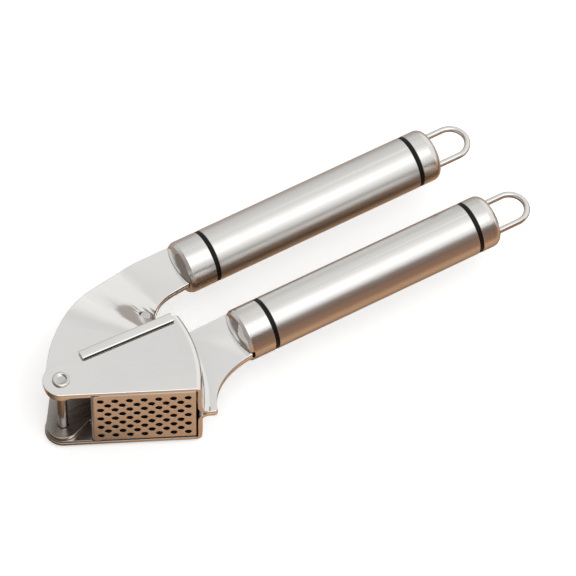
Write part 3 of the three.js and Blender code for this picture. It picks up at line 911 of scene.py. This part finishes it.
def makeLoop(name, node, s):
    # A round wire: one leg, a half turn and the other leg.
    low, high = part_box(node)
    radius = (high.z - low.z) / 2
    half = (high.y - low.y) / 2 - radius
    y, z = (low.y + high.y) / 2, (low.z + high.z) / 2
    turn = high.x - radius - half
    leg = turn - low.x
    piece = drawCircle(name, radius, (low.x, y + half, z), axes["x"][1], s["corners"])
    for _ in range(s["legSteps"]):
        step = (leg / s["legSteps"], 0, 0)
        bpy.ops.mesh.extrude_region_move(TRANSFORM_OT_translate={"value": step})
    bpy.ops.mesh.spin(
        steps=s["turnSteps"], angle=math.pi, center=(turn, y, z), axis=(0, 0, 1)
    )
    for _ in range(s["legSteps"]):
        step = (-leg / s["legSteps"], 0, 0)
        bpy.ops.mesh.extrude_region_move(TRANSFORM_OT_translate={"value": step})
    closeShape()
    settle(piece)
    roundEdges(piece, 0.15, segments=2, angle=50)
    finishPiece(piece, node, bodyOf[name[0]], "wire", "loopWire")


bodyOf = {"b": "basket_lever", "p": "pressing_lever"}


def makeHandle(side, s):
    # The six pieces of one handle; side is basket or press.
    radius = axisOf(side + "_grip_tube")[3]
    inner = radius - s["gripWall"]
    for place in ("front", "rear"):
        node = f"{side}_{place}_ring"
        ring = hollowTurned(f"{side}{place.title()}Ring", node, inner, s["ringEdge"], s)
        finishPiece(ring, node, bodyOf[side[0]], "black_ring", "blackRubber")
    grip = hollowTurned(side + "GripTube", side + "_grip_tube", inner, s["gripEdge"], s)
    finishPiece(grip, side + "_grip_tube", bodyOf[side[0]], "brushed_grip", "brushedGrip")
    makeFrontCap(side + "FrontCap", side + "_front_cap", side + "_front_ring", s)
    makeRearCap(side + "RearCap", side + "_rear_cap", side + "_rear_ring", s)
    makeLoop(side + "HangingLoop", side + "_hanging_loop", loopSettings)


for side in ("basket", "press"):
    makeHandle(side, handleSettings)
    print(side, "handle made")


# Studio: a plain pale floor, one large soft light, and cards that only reflections see.
studioSettings = {
    "floorTone": (0.93, 0.93, 0.925),
    "floorGlow": 0.40,
    # The floor as the steel reflects it, from front to back: (y, colour). The dark stops around y = 0 are
    # painted shadow under the press.
    "floorInReflections": [
        (-0.200, (0.70, 0.44, 0.28)),
        (-0.030, (0.70, 0.43, 0.26)),
        (-0.012, (0.17, 0.11, 0.075)),
        (0.003, (0.17, 0.095, 0.05)),
        (0.016, (0.66, 0.40, 0.24)),
        (0.045, (0.48, 0.38, 0.30)),
        (0.120, (0.53, 0.48, 0.45)),
    ],
    "keyAzimuth": 0,
    "keyElevation": 68,
    "keyDistance": 2.2,
    "keySize": 2.0,
    "keyPower": 7.2,
    "skyLow": (0.66, 0.655, 0.645),
    "skyBack": (0.83, 0.83, 0.825),
    "skyFront": (0.91, 0.905, 0.89),
    "skyRight": (0.98, 0.98, 0.97),
    "skyLeft": (0.26, 0.22, 0.20),
    "cardAt": -0.046,
    "cardHeight": 0.046,
    "cardFrom": -0.030,
    "cardTo": 0.130,
    "cardLow": (0.36, 0.19, 0.11),
    "cardHigh": (0.11, 0.09, 0.08),
}


def colourStops(ramp, stops):
    # Fills a colour ramp from (place, colour) pairs; places run from 0 to 1.
    while len(ramp.elements) > 1:
        ramp.elements.remove(ramp.elements[-1])
    ramp.elements[0].position = stops[0][0]
    ramp.elements[0].color = (*stops[0][1], 1)
    for at, colour in stops[1:]:
        ramp.elements.new(at).color = (*colour, 1)


def makeFloor(s):
    clearSelection()
    bpy.ops.mesh.primitive_plane_add(size=12, location=(0, 0, 0))
    floor = bpy.context.object
    floor.name = "paleFloor"
    material = bpy.data.materials.new("paleFloor")
    material.use_nodes = True
    tree = material.node_tree
    tree.nodes.clear()
    out = addNode(tree, "ShaderNodeOutputMaterial", (700, 0))
    pale = addNode(tree, "ShaderNodeBsdfDiffuse", (-100, 200))
    pale.inputs["Color"].default_value = (*s["floorTone"], 1)
    path = addNode(tree, "ShaderNodeLightPath", (-700, 300))
    glow = addNode(tree, "ShaderNodeEmission", (-100, 50))
    strength = mathNode(tree, "MULTIPLY", (-300, 50), path.outputs["Is Camera Ray"], s["floorGlow"])
    link(tree, strength, glow.inputs["Strength"])
    lit = addNode(tree, "ShaderNodeAddShader", (150, 100))
    link(tree, pale.outputs[0], lit.inputs[0])
    link(tree, glow.outputs[0], lit.inputs[1])
    warm = addNode(tree, "ShaderNodeBsdfDiffuse", (150, -150))
    place = addNode(tree, "ShaderNodeTexCoord", (-900, -150))
    split = addNode(tree, "ShaderNodeSeparateXYZ", (-700, -150))
    link(tree, place.outputs["Object"], split.inputs[0])
    front, back = s["floorInReflections"][0][0], s["floorInReflections"][-1][0]
    depth = addNode(tree, "ShaderNodeMapRange", (-500, -150))
    depth.inputs["From Min"].default_value = front
    depth.inputs["From Max"].default_value = back
    link(tree, split.outputs["Y"], depth.inputs["Value"])
    tones = addNode(tree, "ShaderNodeValToRGB", (-250, -150))
    stops = [((y - front) / (back - front), c) for y, c in s["floorInReflections"]]
    colourStops(tones.color_ramp, stops)
    link(tree, depth.outputs[0], tones.inputs["Fac"])
    link(tree, tones.outputs["Color"], warm.inputs["Color"])
    # Only the first reflection that the camera sees turns warm, so the floor itself stays neutral.
    direct = mathNode(tree, "LESS_THAN", (-300, 350), path.outputs["Diffuse Depth"], 0.5)
    share = mathNode(tree, "MULTIPLY", (0, 350), path.outputs["Is Glossy Ray"], None)
    link(tree, direct, share.node.inputs[1])
    both = addNode(tree, "ShaderNodeMixShader", (450, 0))
    link(tree, share, both.inputs["Fac"])
    link(tree, lit.outputs[0], both.inputs[1])
    link(tree, warm.outputs[0], both.inputs[2])
    link(tree, both.outputs[0], out.inputs["Surface"])
    floor.data.materials.append(material)


def makeKeyLight(s):
    clearSelection()
    toLight = towards(s["keyAzimuth"], s["keyElevation"])
    bpy.ops.object.light_add(type="AREA", location=toLight * s["keyDistance"])
    light = bpy.context.object
    light.name = "softKey"
    light.data.shape = "DISK"
    light.data.size = s["keySize"]
    light.data.energy = s["keyPower"]
    light.rotation_mode = "QUATERNION"
    light.rotation_quaternion = toLight.to_track_quat("Z", "Y")


def makeSky(s):
    # Bright overhead and in front, greyer behind and low down, dark to the left.
    world = bpy.data.worlds.new("studioSky")
    bpy.context.scene.world = world
    world.use_nodes = True
    tree = world.node_tree
    tree.nodes.clear()
    out = addNode(tree, "ShaderNodeOutputWorld", (1000, 0))
    glow = addNode(tree, "ShaderNodeBackground", (800, 0))
    link(tree, glow.outputs[0], out.inputs["Surface"])
    place = addNode(tree, "ShaderNodeTexCoord", (-800, 0))
    split = addNode(tree, "ShaderNodeSeparateXYZ", (-600, 200))
    link(tree, place.outputs["Generated"], split.inputs[0])
    colour = s["skyLow"]
    layers = [
        ("height", split.outputs["Z"], 0.30, 0.85, s["skyBack"]),
        ("front", None, 0.62, 0.93, s["skyFront"]),
        ("right", split.outputs["X"], 0.36, 0.60, s["skyRight"]),
        ("left", split.outputs["X"], -0.35, -0.60, s["skyLeft"]),
    ]
    facing = addNode(tree, "ShaderNodeVectorMath", (-600, -100), operation="DOT_PRODUCT")
    facing.inputs[1].default_value = towards(s["keyAzimuth"], s["keyElevation"])
    link(tree, place.outputs["Generated"], facing.inputs[0])
    below = None
    for i, (label, source, low, high, tone) in enumerate(layers):
        ramp = addNode(tree, "ShaderNodeMapRange", (-350 + 300 * i, -200), interpolation_type="SMOOTHSTEP")
        ramp.label = label
        ramp.inputs["From Min"].default_value = low
        ramp.inputs["From Max"].default_value = high
        link(tree, source or facing.outputs["Value"], ramp.inputs["Value"])
        mixed = addNode(tree, "ShaderNodeMix", (-200 + 300 * i, 100), data_type="RGBA")
        link(tree, ramp.outputs[0], mixed.inputs["Factor"])
        if below is None:
            mixed.inputs["A"].default_value = (*colour, 1)
        else:
            link(tree, below, mixed.inputs["A"])
        mixed.inputs["B"].default_value = (*tone, 1)
        below = mixed.outputs["Result"]
    link(tree, below, glow.inputs["Color"])


def makeCard(s):
    # A low warm card in front, which gives the undersides their tan.
    clearSelection()
    height = s["cardHeight"]
    bpy.ops.mesh.primitive_plane_add(
        size=1,
        location=((s["cardFrom"] + s["cardTo"]) / 2, s["cardAt"], height / 2),
        rotation=(math.pi / 2, 0, 0),
    )
    card = bpy.context.object
    card.name = "warmCard"
    card.scale = (s["cardTo"] - s["cardFrom"], height, 1)
    settle(card)
    card.visible_camera = False
    card.visible_diffuse = False
    card.visible_shadow = False
    material = bpy.data.materials.new("warmCard")
    material.use_nodes = True
    tree = material.node_tree
    tree.nodes.clear()
    out = addNode(tree, "ShaderNodeOutputMaterial", (500, 0))
    glow = addNode(tree, "ShaderNodeEmission", (300, 0))
    link(tree, glow.outputs[0], out.inputs["Surface"])
    place = addNode(tree, "ShaderNodeTexCoord", (-500, 0))
    split = addNode(tree, "ShaderNodeSeparateXYZ", (-300, 0))
    link(tree, place.outputs["Object"], split.inputs[0])
    rise = addNode(tree, "ShaderNodeMapRange", (-100, 0))
    rise.inputs["From Max"].default_value = height
    link(tree, split.outputs["Z"], rise.inputs["Value"])
    mixed = addNode(tree, "ShaderNodeMix", (100, 0), data_type="RGBA")
    mixed.inputs["A"].default_value = (*s["cardLow"], 1)
    mixed.inputs["B"].default_value = (*s["cardHigh"], 1)
    link(tree, rise.outputs[0], mixed.inputs["Factor"])
    link(tree, mixed.outputs["Result"], glow.inputs["Color"])
    card.data.materials.append(material)


makeFloor(studioSettings)
makeKeyLight(studioSettings)
makeSky(studioSettings)
makeCard(studioSettings)
bpy.context.scene.view_settings.view_transform = "Standard"
print("studio made")

clearSelection()
